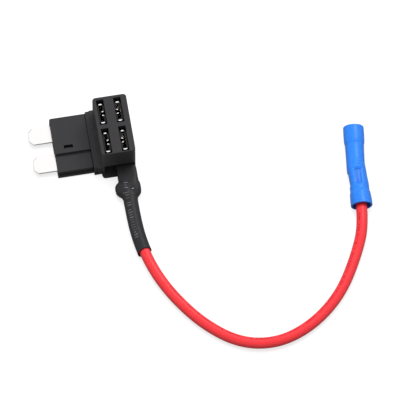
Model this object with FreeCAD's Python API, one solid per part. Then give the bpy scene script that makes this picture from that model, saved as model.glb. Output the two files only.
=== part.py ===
import FreeCAD, Part
import math
import os

V = FreeCAD.Vector

# Blade fuse tap: a right-angle plug with two blades, a head with four fuse sockets,
# and a wire tail that ends in a butt connector. Millimetres.
# Frame: X runs from the blades towards the head, +Z is up out of the sockets,
# origin on the flat base, on the plug's centre line, at the head's blade side.

# base cover
cover_top = 0.8
cover_ledge = [1.2, 0.7]
cover_plug_y = [-8.75, 8.75]
cover_collar_y = [-9.5, 9.2]

# head block
head_x0 = -0.2
head_x1 = 9.9
head_y0 = -9.85
head_y1 = 8.6
head_height = 14.8
head_corner = 1.0
head_edge = 0.2
cavity_x0 = 0.6
cavity_x1 = 9.2
cavity_y1 = 7.9
cavity_top = 6.0
window_x1 = 9.4
window_depth = 2.2

# fuse sockets, two columns along X and two rows along Y
column_x = [1.95, 7.05]
row_y = [3.8, -5.5]
slot_length = 7.9
slot_width = 2.15
slot_bridge = 0.9
slot_chamfer = 0.12

# collar in two steps
collar_x0 = -2.4
collar_step_x = -1.3
collar_rim_y = [-9.15, 9.1]
collar_y = [-9.5, 9.2]
collar_rim_top = 4.5
collar_top = 4.8

# plug shell
plug_x0 = -13.1
plug_y = [-8.1, 8.75]
plug_top = 4.1
plug_low_top = 2.9
plug_step_y = -2.8
plug_corner = 0.5
latch_x = -8.8
latch_y = -0.9
latch_length = 2.7
latch_width = 1.1
latch_clearance = 0.15
latch_tooth_top = 2.9

# blades
stock = 0.4
bend_radius = 0.5
blade_width = 5.2
blade_thickness = 0.8
blade_pitch = 9.3
blade_z = 2.0
blade_exposed = 6.8
blade_tip_cut = 1.25
blade_bevel = 0.22
blade_inner_end = -3.0
blade_clearance = 0.1

# rolled receptacles
socket_width = 6.3
socket_depth = 1.9
socket_bottom = 6.6
socket_top = 13.6
socket_gap = 1.1
socket_tip_drop = 0.65
leg_width = 3.5

# tap terminal
tab_z = 1.55
tab_x0 = 4.7
tab_x1 = 8.7
tab_flange = 1.4
tail_x = 6.75
wire_crimp_y = [-10.9, -13.4]
wire_crimp_half = 1.7
wire_crimp_top_z = 2.95
grip_y = [-14.7, -17.5]
grip_half = 3.0
grip_axis_z = 2.5

# wire
wire_diameter = 3.3
strand_diameter = 1.9
strand_flat_width = 2.4
route = [
    (6.75, -15.0, 2.5),
    (6.62, -24.0, 2.5),
    (7.23, -33.15, 2.15),
    (9.38, -42.3, 2.15),
    (13.7, -51.55, 1.75),
    (21.2, -62.05, 1.7),
    (30.9, -69.8, 1.7),
    (41.8, -71.65, 1.7),
    (52.65, -67.8, 1.7),
    (62.3, -59.65, 1.75),
    (68.8, -48.75, 2.1),
]

# heat-shrink sleeve
sleeve_wall = 0.35
sleeve_round = 4.2
sleeve_start_y = -8.3
sleeve_inside = (6.7, 2.9, 2.3, 1.7, 0.5)
sleeve_outside = (6.95, 2.9, 2.55, 1.7, 0.55)
sleeve_lump = (6.55, 2.5, 3.38, 2.12, 1.6)
sleeve_lump_tilt = 4.0
sleeve_lump_over = 0.4
sleeve_blend = 1.5
sleeve_round_from = 4.6
sleeve_end_run = 21.8
dimple_at = (7.3, -17.6)
dimple_radius = 0.8
dimple_depth = 0.2

# butt connector
connector_mouth = (73.2, -33.8, 3.32)
connector_end = (75.0, -8.3, 3.2)
wire_lead_run = 4.8
connector_mouth_radius = 3.3
connector_end_radius = 3.18
connector_waist_radius = 2.75
connector_mouth_bore = 2.7
flare_run = 5.0
flare_end_run = 6.6
barrel_wire_radius = 1.85
barrel_radius = 2.1
barrel_bore = 1.25
barrel_inset = 5.0
barrel_half = 7.6
dent_depth = 0.45
dent_radius = 1.8
dent_run = [7.3, 10.4]


def block(x0, x1, y0, y1, z0, z1):
    low_x = min(x0, x1)
    low_y = min(y0, y1)
    low_z = min(z0, z1)
    return Part.makeBox(abs(x1 - x0), abs(y1 - y0), abs(z1 - z0), V(low_x, low_y, low_z))


def upright_edges(solid):
    found = []
    for edge in solid.Edges:
        a = edge.Vertexes[0].Point
        b = edge.Vertexes[-1].Point
        if abs(a.x - b.x) < 1e-6 and abs(a.y - b.y) < 1e-6 and abs(a.z - b.z) > 1e-6:
            found.append(edge)
    return found


def edges_at_height(solid, z):
    found = []
    for edge in solid.Edges:
        box = edge.BoundBox
        if abs(box.ZMin - z) < 1e-6 and abs(box.ZMax - z) < 1e-6:
            found.append(edge)
    return found


def rounded_block(x0, x1, y0, y1, z0, z1, radius, top_edge=0.0):
    solid = block(x0, x1, y0, y1, z0, z1)
    limit = 0.45 * min(abs(x1 - x0), abs(y1 - y0))
    solid = solid.makeFillet(min(radius, limit), upright_edges(solid))
    if top_edge > 0:
        solid = solid.makeFillet(top_edge, edges_at_height(solid, max(z0, z1)))
    return solid


def rounded_outline(points, radii, side):
    # one side of a strip's centre line: corners become arcs moved by "side"
    edges = []
    here = None
    count = len(points)
    for i in range(count):
        p = V(points[i][0], points[i][1], 0)
        if i == 0 or i == count - 1:
            other = points[1] if i == 0 else points[count - 2]
            q = V(other[0], other[1], 0)
            along = (q - p) if i == 0 else (p - q)
            along.normalize()
            shifted = p + V(-along.y, along.x, 0) * side
            if here is not None and (shifted - here).Length > 1e-7:
                edges.append(Part.LineSegment(here, shifted).toShape())
            here = shifted
            continue
        before = V(points[i - 1][0], points[i - 1][1], 0)
        after = V(points[i + 1][0], points[i + 1][1], 0)
        into = p - before
        away = after - p
        into.normalize()
        away.normalize()
        turn = math.atan2(into.x * away.y - into.y * away.x, into.dot(away))
        sign = 1 if turn > 0 else -1
        radius = radii[i]
        back = radius * math.tan(abs(turn) / 2)
        centre = p - into * back + V(-into.y, into.x, 0) * (radius * sign)
        real = radius - sign * side
        start = centre - V(-into.y, into.x, 0) * (real * sign)
        end = centre - V(-away.y, away.x, 0) * (real * sign)
        middle = (start - centre) + (end - centre)
        middle.normalize()
        if (start - here).Length > 1e-7:
            edges.append(Part.LineSegment(here, start).toShape())
        edges.append(Part.Arc(start, centre + middle * real, end).toShape())
        here = end
    first = edges[0].Vertexes[0].Point
    return edges, here, first


def strip_face(points, radii, thickness):
    half = thickness / 2
    left, left_end, left_start = rounded_outline(points, radii, half)
    right, right_end, right_start = rounded_outline(points, radii, -half)
    edges = left + right
    edges.append(Part.LineSegment(left_end, right_end).toShape())
    edges.append(Part.LineSegment(left_start, right_start).toShape())
    ordered = Part.__sortEdges__(edges)
    return Part.Face(Part.Wire(ordered))


def strip_across(points, radii, y0, y1):
    # bent strip drawn in X-Z, as wide as y0 to y1
    face = strip_face(points, radii, stock)
    face.rotate(V(0, 0, 0), V(1, 0, 0), 90)
    face.translate(V(0, max(y0, y1), 0))
    return face.extrude(V(0, -abs(y1 - y0), 0))


def path_edges(points):
    corners = [V(*p) for p in points]
    runs = [(corners[i + 1] - corners[i]).Length for i in range(len(corners) - 1)]
    edges = []
    radii = []
    here = corners[0]
    for i in range(1, len(corners) - 1):
        into = corners[i] - corners[i - 1]
        away = corners[i + 1] - corners[i]
        into.normalize()
        away.normalize()
        turn = into.getAngle(away)
        back = 0.45 * min(runs[i - 1], runs[i])
        radius = back / math.tan(turn / 2)
        radii.append(radius)
        start = corners[i] - into * back
        end = corners[i] + away * back
        inward = away - into
        inward.normalize()
        rise = radius / math.cos(turn / 2) - radius
        edges.append(Part.LineSegment(here, start).toShape())
        edges.append(Part.Arc(start, corners[i] + inward * rise, end).toShape())
        here = end
    edges.append(Part.LineSegment(here, corners[-1]).toShape())
    return edges, radii


def place_on_path(edges, at_run):
    run = 0.0
    for edge in edges:
        if at_run <= run + edge.Length + 1e-9:
            value = edge.getParameterByLength(at_run - run)
            return edge.valueAt(value), edge.tangentAt(value)
        run += edge.Length
    return edges[-1].valueAt(edges[-1].LastParameter), edges[-1].tangentAt(edges[-1].LastParameter)


def swept_round(edges, radius):
    start = edges[0].valueAt(edges[0].FirstParameter)
    along = edges[0].tangentAt(edges[0].FirstParameter)
    ring = Part.Wire([Part.makeCircle(radius, start, along)])
    return Part.Wire(edges).makePipeShell([ring], True, False)


def swept_tube(edges, outer, inner):
    return swept_round(edges, outer).cut(swept_round(edges, inner))


row_pitch = abs(row_y[0] - row_y[1])
slot_run = min(slot_length, row_pitch - slot_bridge)


def slot_cutter(x, y, z0, z1):
    return block(x - slot_width / 2, x + slot_width / 2, y - slot_run / 2, y + slot_run / 2, z0, z1)


# Housing: head, stepped collar and plug shell moulded as one piece
blade_y = [blade_pitch / 2, -blade_pitch / 2]
plug_x1 = collar_x0
head = rounded_block(head_x0, head_x1, head_y0, head_y1, cover_top, head_height, head_corner, head_edge)
collar_rim = rounded_block(collar_x0, head_x0 + 0.5, collar_rim_y[0], collar_rim_y[1],
                           cover_top, collar_rim_top, 0.3, 0.2)
collar_main = rounded_block(collar_step_x, head_x0 + 0.5, collar_y[0], collar_y[1],
                            cover_top, collar_top, 0.3, 0.2)
plug_low = rounded_block(plug_x0, plug_x1 + 0.5, plug_y[0], plug_y[1], cover_top, plug_low_top, plug_corner)
plug_high = rounded_block(plug_x0, plug_x1 + 0.5, plug_step_y, plug_y[1], cover_top, plug_top, plug_corner, 0.2)
housing = plug_low.fuse([plug_high, collar_rim, collar_main, head])
housing = housing.removeSplitter()

channel_half = blade_width / 2 + blade_clearance
channel_top = blade_z + blade_thickness / 2 + blade_clearance
cuts = []
for y in blade_y:
    cuts.append(block(plug_x0 - 1, cavity_x0 + 0.1, y - channel_half, y + channel_half, 0, channel_top))
cuts.append(block(cavity_x0, cavity_x1, head_y0 - 1, cavity_y1, 0, cavity_top))
cuts.append(block(cavity_x0, window_x1, head_y0 - 1, head_y0 + window_depth, 0, cavity_top))
for x in column_x:
    for y in row_y:
        cuts.append(slot_cutter(x, y, cavity_top - 0.5, head_height + 1))
cuts.append(block(latch_x - latch_length / 2, latch_x + latch_length / 2,
                  latch_y - latch_width / 2, latch_y + latch_width / 2, 0, plug_top + 1))
for cutter in cuts:
    housing = housing.cut(cutter)
slot_rims = []
for edge in edges_at_height(housing, head_height):
    middle = edge.CenterOfMass
    for x in column_x:
        for y in row_y:
            if abs(middle.x - x) < slot_width / 2 + 0.01 and abs(middle.y - y) < slot_run / 2 + 0.01:
                slot_rims.append(edge)
housing = housing.makeChamfer(slot_chamfer, slot_rims)

# Base cover: flat plate under plug, collar and head, with ribs under the strips
cover = block(plug_x0, collar_x0 + 0.3, cover_plug_y[0], cover_plug_y[1], 0, cover_top)
cover = cover.fuse(block(collar_x0, head_x0 + 0.5, cover_collar_y[0], cover_collar_y[1], 0, cover_top))
cover = cover.fuse(rounded_block(head_x0, head_x1, head_y0 - cover_ledge[0], head_y1 + cover_ledge[1],
                                 0, cover_top, head_corner))
blade_bottom = blade_z - blade_thickness / 2
for y in blade_y:
    rib_half = blade_width / 2 - 0.2
    cover = cover.fuse(block(plug_x0 + 0.4, cavity_x0, y - rib_half, y + rib_half, cover_top - 0.2, blade_bottom))
head_rib_x1 = column_x[1] - 0.6
cover = cover.fuse(block(cavity_x0, head_rib_x1, row_y[0] - 2.4, row_y[0] + 2.4, cover_top - 0.2, blade_bottom))
tab_bottom = tab_z - stock / 2
cover = cover.fuse(block(tab_x0 + 0.2, column_x[1], row_y[1] - 2.0, row_y[1] + 2.0, cover_top - 0.2, tab_bottom))
tooth_x = latch_length / 2 - latch_clearance
tooth_y = latch_width / 2 - latch_clearance
cover = cover.fuse(block(latch_x - tooth_x, latch_x + tooth_x, latch_y - tooth_y, latch_y + tooth_y,
                         cover_top - 0.2, latch_tooth_top))
cover = cover.removeSplitter()


def blade(y):
    # doubled-over stock with cut corners and a bevelled tip
    tip = plug_x0 - blade_exposed
    half = blade_width / 2
    low = blade_z - blade_thickness / 2
    outline = [(tip, -half + blade_tip_cut), (tip, half - blade_tip_cut), (tip + blade_tip_cut, half),
               (blade_inner_end, half), (blade_inner_end, -half), (tip + blade_tip_cut, -half)]
    corners = [V(px, y + py, low) for px, py in outline]
    flat = Part.Face(Part.makePolygon(corners + [corners[0]])).extrude(V(0, 0, blade_thickness))
    tips = []
    for edge in flat.Edges:
        box = edge.BoundBox
        flat_edge = box.ZMax - box.ZMin < 1e-6
        if flat_edge and box.XMax < tip + blade_tip_cut + 1e-6:
            tips.append(edge)
    return flat.makeChamfer(blade_bevel, tips)


def receptacle(x, y, outward):
    # base plate on the outer side, both sides rolled over to tips near the middle
    half = socket_width / 2 - stock / 2
    depth = socket_depth - stock
    roll = depth / 2 - 0.001
    gap = socket_gap / 2
    tip = depth - socket_tip_drop
    right = [(0, 0), (half, 0), (half, depth), (gap + 0.35, depth), (gap, tip)]
    left = [(-px, py) for px, py in reversed(right[1:])]
    points = left + right
    radii = [0, 0.3, roll, roll, 0, roll, roll, 0.3, 0]
    points = [p for p in points if p != (0, 0)]
    radii = [0, 0.3, roll, roll, roll, roll, 0.3, 0]
    face = strip_face(points, radii, stock)
    turn = FreeCAD.Matrix()
    turn.rotateZ(math.radians(-90 if outward < 0 else 90))
    face = face.transformGeometry(turn)
    base_x = x + outward * (socket_depth / 2 - stock / 2)
    face.translate(V(base_x, y, socket_bottom))
    return face.extrude(V(0, 0, socket_top - socket_bottom)), base_x


def leg(base_x, y, from_x, z):
    points = [(from_x, z), (base_x, z), (base_x, socket_top - 0.4)]
    return strip_across(points, [0, bend_radius, 0], y - leg_width / 2, y + leg_width / 2)


# Feed terminal: one blade, a floor strip, and two receptacles side by side
strip_z = blade_bottom + stock / 2
feed_left, feed_left_x = receptacle(column_x[0], row_y[0], -1)
feed_right, feed_right_x = receptacle(column_x[1], row_y[0], 1)
plate_x0 = cavity_x0 + 0.1
leg_start = cavity_x0 + 0.02
plate_half = 3.0
plate = block(plate_x0, feed_right_x - bend_radius, row_y[0] - plate_half, row_y[0] + plate_half,
              strip_z - stock / 2, strip_z + stock / 2)
lance = block(plate_x0 + 0.5, feed_right_x - 2.3, row_y[0] - leg_width / 2 - 0.15,
              row_y[0] + leg_width / 2 + 0.15, 0, 3)
plate = plate.cut(lance)
narrow = block(blade_inner_end - 0.2, plate_x0 + 0.3, blade_y[0] - blade_width / 2, blade_y[0] + blade_width / 2,
               strip_z - stock / 2, strip_z + stock / 2)
feed = blade(blade_y[0]).fuse([narrow, plate, leg(feed_left_x, row_y[0], leg_start, strip_z), feed_left])
feed = feed.fuse([leg(feed_right_x, row_y[0], feed_right_x - 2.6, strip_z), feed_right])
feed = feed.removeSplitter()

# Load terminal: the other blade and the receptacle behind it
load_socket, load_x = receptacle(column_x[0], row_y[1], -1)
load_strip = block(blade_inner_end - 0.2, plate_x0, blade_y[1] - blade_width / 2, blade_y[1] + blade_width / 2,
                   strip_z - stock / 2, strip_z + stock / 2)
load = blade(blade_y[1]).fuse([load_strip, leg(load_x, row_y[1], leg_start, strip_z), load_socket])
load = load.removeSplitter()

# Tap terminal: receptacle, flanged tab out through the side window, two crimps
tap_socket, tap_x = receptacle(column_x[1], row_y[1], 1)
tab_low = tab_z - stock / 2
tab_high = tab_z + stock / 2
tab_end_y = wire_crimp_y[1]
pad = block(tab_x0, tap_x - bend_radius, row_y[1] + 2.4, -8.4, tab_low, tab_high)
tab = block(tab_x0, tab_x1, -8.2, tab_end_y + 0.3, tab_low, tab_high)
flange_low = block(tab_x0, tab_x0 + stock, -8.6, wire_crimp_y[0] + 0.6, tab_low, tab_low + tab_flange)
flange_high = block(tab_x1 - stock, tab_x1, -8.6, wire_crimp_y[0] + 0.6, tab_low, tab_low + tab_flange)


def crimp(y0, y1, half, low_z, high_z, roll, dip):
    # open barrel folded shut over the wire: the wings meet on top and dip inwards
    side = half - stock / 2
    right = [(side, low_z), (side, high_z), (0.45, high_z), (0.24, high_z - dip)]
    left = [(-px, pz) for px, pz in reversed(right)]
    points = left + right
    radii = [0, 0.3, roll, roll, roll, roll, 0.3, 0]
    face = strip_face(points, radii, stock)
    face.rotate(V(0, 0, 0), V(1, 0, 0), 90)
    face.translate(V(tail_x, max(y0, y1), 0))
    return face.extrude(V(0, -abs(y1 - y0), 0))


wire_crimp = crimp(wire_crimp_y[0], wire_crimp_y[1], wire_crimp_half, tab_z, wire_crimp_top_z, 0.45, 0.35)
grip_low = grip_axis_z - wire_diameter / 2 - stock / 2
grip_high = grip_axis_z + wire_diameter / 2 + stock / 2
grip_roll = (grip_high - grip_low) / 2 - 0.001
grip = crimp(grip_y[0], grip_y[1], grip_half, grip_low, grip_high, grip_roll, -0.05)
neck_points = [(tab_end_y + 1.2, tab_z), (tab_end_y - 0.1, tab_z),
               (grip_y[0] + 0.1, grip_low), (grip_y[0] - 1.2, grip_low)]
neck_face = strip_face(neck_points, [0, 0.3, 0.3, 0], stock)
turn = FreeCAD.Matrix()
turn.rotateX(math.radians(90))
neck_face = neck_face.transformGeometry(turn)
turn = FreeCAD.Matrix()
turn.rotateZ(math.radians(90))
neck_face = neck_face.transformGeometry(turn)
neck_face.translate(V(tail_x - 1.1, 0, 0))
neck = neck_face.extrude(V(2.2, 0, 0))
tap = tab.fuse([pad, flange_low, flange_high, leg(tap_x, row_y[1], tap_x - 2.0, tab_z), tap_socket])
tap = tap.fuse([wire_crimp, neck, grip])
tap = tap.removeSplitter()

# Wire: insulation tube and the strands inside it; its last run lies on the connector's axis
mouth = V(*connector_mouth)
connector_way = V(*connector_end) - mouth
connector_length = connector_way.Length
connector_way.normalize()
lead_point = mouth - connector_way * wire_lead_run
stop_point = mouth + connector_way * barrel_inset
route.append((lead_point.x, lead_point.y, lead_point.z))
route.append((stop_point.x, stop_point.y, stop_point.z))
wire_path, bend_radii = path_edges(route)
wire_run = sum(edge.Length for edge in wire_path)
insulation = swept_tube(wire_path, wire_diameter / 2, strand_diameter / 2)
strands = swept_round(wire_path, strand_diameter / 2)
strand_flat_low = tab_high
strand_flat_high = wire_crimp_top_z - stock / 2
start_point = V(*route[0])
first_way = V(*route[1]) - start_point
first_way.normalize()
lead_in = Part.makeCylinder(strand_diameter / 2, 1.2, start_point - first_way * 1.2, first_way)
strand_flat = block(tail_x - strand_flat_width / 2, tail_x + strand_flat_width / 2,
                    wire_crimp_y[0] + 0.5, wire_crimp_y[1] - 0.9, strand_flat_low, strand_flat_high)
long_edges = [e for e in strand_flat.Edges if e.BoundBox.YLength > 1]
strand_flat = strand_flat.makeFillet(0.32, long_edges)
strand_flat = strand_flat.cut(block(tail_x - 0.75, tail_x + 0.75, wire_crimp_y[0] + 1, wire_crimp_y[1] - 2,
                                    strand_flat_high - 0.38, 5))
strand_tail = Part.makeCylinder(strand_diameter / 2, barrel_half - 0.6, stop_point, connector_way)
strands = strands.fuse([lead_in, strand_flat, strand_tail])
strands = strands.removeSplitter()

# Heat-shrink sleeve: flat over the tab, a lump over the grip, then round along the wire


def ease(t):
    t = min(max(t, 0.0), 1.0)
    return t * t * (3 - 2 * t)


def rounded_ring(centre, way, half_x, half_z, corner):
    # four lines and four arcs square to "way", so that every ring has the same edges
    across = V(0, 0, 1).cross(way)
    across.normalize()
    upward = way.cross(across)
    corner = min(corner, half_x - 0.02, half_z - 0.02)
    edges = []
    for quarter in range(4):
        sign_x = (1, -1, -1, 1)[quarter]
        sign_z = (1, 1, -1, -1)[quarter]
        cx = sign_x * (half_x - corner)
        cz = sign_z * (half_z - corner)
        spots = []
        for step in range(3):
            angle = math.radians(90 * quarter + 45 * step)
            px = cx + corner * math.cos(angle)
            pz = cz + corner * math.sin(angle)
            spots.append(centre + across * px + upward * pz)
        if edges:
            edges.append(Part.LineSegment(last_spot, spots[0]).toShape())
        else:
            first_spot = spots[0]
        edges.append(Part.Arc(spots[0], spots[1], spots[2]).toShape())
        last_spot = spots[2]
    edges.append(Part.LineSegment(last_spot, first_spot).toShape())
    return Part.Wire(edges)


def between(first, last, share):
    mix = ease(share)
    return tuple(a + (b - a) * mix for a, b in zip(first, last))


def sleeve_form(grow):
    lean = math.radians(sleeve_lump_tilt)
    bore = sleeve_round / 2 - sleeve_wall + 0.02
    rounded = (tail_x, grip_axis_z, bore, bore, bore)
    lump_y0 = grip_y[0] + sleeve_lump_over
    lump_y1 = grip_y[1] - sleeve_lump_over - 0.2
    stations = [(sleeve_start_y, sleeve_inside, 0), (head_y0, sleeve_inside, 0)]
    stations.append((head_y0 - 0.5, sleeve_outside, 0))
    stations.append((lump_y0 + sleeve_blend, sleeve_outside, 0))
    for share in (0.3, 0.5, 0.7):
        stations.append((lump_y0 + sleeve_blend * (1 - share), between(sleeve_outside, sleeve_lump, share), share))
    stations += [(lump_y0, sleeve_lump, 1), ((lump_y0 + lump_y1) / 2, sleeve_lump, 1), (lump_y1, sleeve_lump, 1)]
    for share in (0.3, 0.5, 0.7):
        stations.append((lump_y1 - sleeve_blend * share, between(sleeve_lump, rounded, share), 1 - share))
    rings = []
    for y, (cx, cz, hx, hz, corner), lean_share in stations:
        way = V(math.sin(lean * lean_share), -math.cos(lean * lean_share), 0)
        rings.append(rounded_ring(V(cx, y, cz), way, hx + grow, hz + grow, corner + grow))
    count = 9
    for i in range(count + 1):
        run = sleeve_round_from + (sleeve_end_run - sleeve_round_from) * i / count
        spot, way = place_on_path(wire_path, run)
        rings.append(rounded_ring(spot, way, bore + grow, bore + grow, bore + grow))
    return Part.makeLoft(rings, True, True)


sleeve = sleeve_form(sleeve_wall - 0.02).cut(sleeve_form(0.0))
dimple_top = sleeve_lump[1] + sleeve_lump[3] + sleeve_wall
dimple_big = (dimple_radius ** 2 + dimple_depth ** 2) / (2 * dimple_depth)
dimple = Part.makeSphere(dimple_big, V(dimple_at[0], dimple_at[1], dimple_top + dimple_big - dimple_depth - 0.03))
sleeve = sleeve.cut(dimple)

# Butt connector: nylon sleeve with flared mouths over a plated barrel


def turned(profile, start, way):
    points = [V(r, 0, z) for r, z in profile]
    face = Part.Face(Part.makePolygon(points + [points[0]]))
    solid = face.revolve(V(0, 0, 0), V(0, 0, 1), 360)
    solid.Placement = FreeCAD.Placement(start, FreeCAD.Rotation(V(0, 0, 1), way))
    return solid


length = connector_length
barrel_end = barrel_inset + 2 * barrel_half
waist = connector_waist_radius
connector = turned([(connector_mouth_radius, 0), (connector_mouth_radius - 0.14, flare_run - 0.5),
                    (waist + 0.12, flare_run + 0.5), (waist, flare_run + 1.6), (waist, length - flare_end_run - 2.4),
                    (waist + 0.08, length - flare_end_run - 0.4),
                    (connector_end_radius - 0.14, length - flare_end_run + 0.2),
                    (connector_end_radius, length), (connector_mouth_bore - 0.1, length),
                    (2.45, length - 2.4), (barrel_radius, length - 4.4), (barrel_radius, length / 2),
                    (barrel_wire_radius, length / 2 - 0.4), (barrel_wire_radius, 4.4), (2.45, 2.4),
                    (connector_mouth_bore, 0)], mouth, connector_way)
barrel = turned([(barrel_wire_radius, barrel_inset), (barrel_wire_radius, length / 2 - 0.4),
                 (barrel_radius, length / 2), (barrel_radius, barrel_end), (barrel_bore, barrel_end),
                 (barrel_bore, length / 2 + 0.8), (0.5, length / 2 + 0.4), (0.5, length / 2),
                 (strand_diameter / 2, length / 2 - 0.4), (strand_diameter / 2, barrel_inset)],
                mouth, connector_way)
dent_up = V(0, 0, connector_waist_radius + dent_radius - dent_depth)
dent_start = mouth + connector_way * dent_run[0] + dent_up
dent_stop = mouth + connector_way * dent_run[1] + dent_up
dent = Part.makeCylinder(dent_radius, dent_run[1] - dent_run[0], dent_start, connector_way)
dent = dent.fuse([Part.makeSphere(dent_radius, dent_start), Part.makeSphere(dent_radius, dent_stop)])
connector = connector.cut(dent)

pieces = {
    "housing_body": housing,
    "base_cover": cover,
    "feed_terminal": feed,
    "load_terminal": load,
    "tap_terminal": tap,
    "heat_shrink_sleeve": sleeve,
    "wire_insulation": insulation,
    "wire_conductor": strands,
    "butt_connector_sleeve": connector,
    "butt_connector_barrel": barrel,
}

os.makedirs("parts", exist_ok=True)
for name, shape in pieces.items():
    if len(shape.Solids) == 1:
        shape = shape.Solids[0]
    shape.exportStep("parts/" + name + ".step")
    box = shape.BoundBox
    print(name, "solids", len(shape.Solids), "valid", shape.isValid(), "volume", round(shape.Volume, 2),
          "box", [round(v, 2) for v in (box.XMin, box.XMax, box.YMin, box.YMax, box.ZMin, box.ZMax)])
print("wire run", round(wire_run, 2), "bend radii", [round(r, 1) for r in bend_radii])
expected = math.pi * (wire_diameter ** 2 - strand_diameter ** 2) / 4 * wire_run
print("insulation volume against section times length", round(insulation.Volume / expected, 4))
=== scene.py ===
import math

import bpy
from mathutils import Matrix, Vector, noise


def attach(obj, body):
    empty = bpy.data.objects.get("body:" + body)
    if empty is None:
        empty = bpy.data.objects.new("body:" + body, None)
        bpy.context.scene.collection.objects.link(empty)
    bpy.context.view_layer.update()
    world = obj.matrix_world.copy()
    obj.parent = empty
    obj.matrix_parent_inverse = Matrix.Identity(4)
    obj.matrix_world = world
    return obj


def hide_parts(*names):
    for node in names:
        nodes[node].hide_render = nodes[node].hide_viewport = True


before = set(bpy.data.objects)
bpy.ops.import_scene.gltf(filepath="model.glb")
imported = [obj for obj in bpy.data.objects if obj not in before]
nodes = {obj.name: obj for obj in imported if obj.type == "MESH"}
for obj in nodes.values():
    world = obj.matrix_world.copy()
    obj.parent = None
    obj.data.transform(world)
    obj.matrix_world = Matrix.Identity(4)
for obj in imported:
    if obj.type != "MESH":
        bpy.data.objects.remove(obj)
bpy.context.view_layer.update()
mm = 0.001
up = Vector((0, 0, 1))
print("frame loaded:", len(nodes), "nodes")


def addObject(name, data):
    obj = bpy.data.objects.new(name, data)
    bpy.context.scene.collection.objects.link(obj)
    return obj


def pointAlong(obj, way):
    # turns the camera or a lamp to look along a direction
    obj.rotation_mode = "QUATERNION"
    obj.rotation_quaternion = way.to_track_quat("-Z", "Y")


# camera
cameraFacts = {
    "aim": Vector((0.0269, -0.0224, 0.0)),  # floor point in the middle of the picture
    "back": Vector((-0.0638, -0.3855, 0.9205)),  # from the object towards the camera
    "distance": 3.0,
    "frameWidth": 0.1176,
    "sensor": 36.0,
    "near": 0.05,
    "far": 10.0,
}


def makeCamera(facts):
    data = bpy.data.cameras.new("camera")
    data.sensor_width = facts["sensor"]
    data.lens = facts["sensor"] * facts["distance"] / facts["frameWidth"]
    data.clip_start = facts["near"]
    data.clip_end = facts["far"]
    cam = addObject("camera", data)
    back = facts["back"].normalized()
    cam.location = facts["aim"] + back * facts["distance"]
    pointAlong(cam, -back)
    bpy.context.scene.camera = cam


makeCamera(cameraFacts)
print("camera placed")

# the butt connector's axis: it curves into a slight kink at the crimp and runs on straight from there
connectorFacts = {
    "mouth": Vector((73.20, -33.80, 3.32)) * mm,  # where the wire enters
    "end": Vector((75.00, -8.30, 3.20)) * mm,  # the free end
    "kinkRun": 11.0 * mm,  # from the wire's mouth to the kink's peak
    "kinkShift": -0.62 * mm,
    "kinkSpread": 2.6 * mm,  # reach of the peak's rounding, to both sides
    "kinkRounding": 0.5,
    "probe": 0.2,  # millimetres to both sides over which the axis' direction is read
    "wireLead": 4.8 * mm,  # the wire's last free point lies this far before the mouth
    "barrelInset": 5.0 * mm,  # from the mouth to the wire's end inside
}
connectorWay = (connectorFacts["end"] - connectorFacts["mouth"]).normalized()
connectorLength = (connectorFacts["end"] - connectorFacts["mouth"]).length
connectorSide = connectorWay.cross(up).normalized()


def connectorAxis(run):
    # a point on the kinked axis; the kink is a rounded peak in the sideways shift
    facts = connectorFacts
    if run < facts["kinkRun"]:
        share = (run / facts["kinkRun"]) ** 2
    else:
        share = (connectorLength - run) / (connectorLength - facts["kinkRun"])
    near = max(0.0, 1 - abs(run - facts["kinkRun"]) / facts["kinkSpread"])
    rounding = facts["kinkRounding"] * near ** 2 * facts["kinkSpread"] / facts["kinkRun"]
    aside = connectorSide * facts["kinkShift"] * (share - rounding)
    return facts["mouth"] + connectorWay * run + aside


# wire: the one free cord, with the route of the solid tube
wireFacts = {
    "diameter": 3.3 * mm,
    "length": 0.1309,
    "leadShift": Vector((0.2, 0, 0)) * mm,
    "route": [
        (6.75, -15.0, 2.5),
        (6.62, -24.0, 2.5),
        (7.23, -33.15, 2.15),
        (9.38, -42.3, 2.15),
        (13.7, -51.55, 1.75),
        (21.2, -62.05, 1.7),
        (30.9, -69.8, 1.7),
        (41.8, -71.65, 1.7),
        (52.65, -67.8, 1.7),
        (62.3, -59.65, 1.75),
        (68.8, -48.75, 2.1),
    ],
}
wireRoute = [Vector(point) * mm for point in wireFacts["route"]]
leadPoint = connectorFacts["mouth"] - connectorWay * connectorFacts["wireLead"]
wireRoute.append(leadPoint + wireFacts["leadShift"])
wireRoute.append(connectorAxis(connectorFacts["barrelInset"]))
guideSteps = 40  # steps between the points of a line that is only read


def routeCurve(name, points, radius, steps=20):
    data = bpy.data.curves.new(name, "CURVE")
    data.dimensions = "3D"
    spline = data.splines.new("NURBS")
    spline.points.add(len(points) - 1)
    for spot, point in zip(spline.points, points):
        spot.co = (*point, 1)
    spline.order_u = 3
    spline.use_endpoint_u = True
    data.resolution_u = steps
    data.render_resolution_u = steps
    data.bevel_depth = radius
    data.bevel_resolution = 8
    data.use_fill_caps = True
    return addObject(name, data)


def plainMesh(obj):
    # the evaluated object as a new mesh
    bpy.context.view_layer.update()
    graph = bpy.context.evaluated_depsgraph_get()
    return bpy.data.meshes.new_from_object(obj.evaluated_get(graph))


def routeSamples(points):
    # the spline's own line, read back with no bevel
    guide = routeCurve("guide_line", points, 0.0, guideSteps)
    mesh = plainMesh(guide)
    line = [v.co.copy() for v in mesh.vertices]
    bpy.data.meshes.remove(mesh)
    bpy.data.objects.remove(guide)
    return line


def placeOnLine(line, run):
    # the point and direction after "run" metres of a sampled line
    for a, b in zip(line, line[1:]):
        step = (b - a).length
        if run <= step:
            return a.lerp(b, run / step), (b - a).normalized()
        run -= step
    return line[-1], (line[-1] - line[-2]).normalized()


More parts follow.
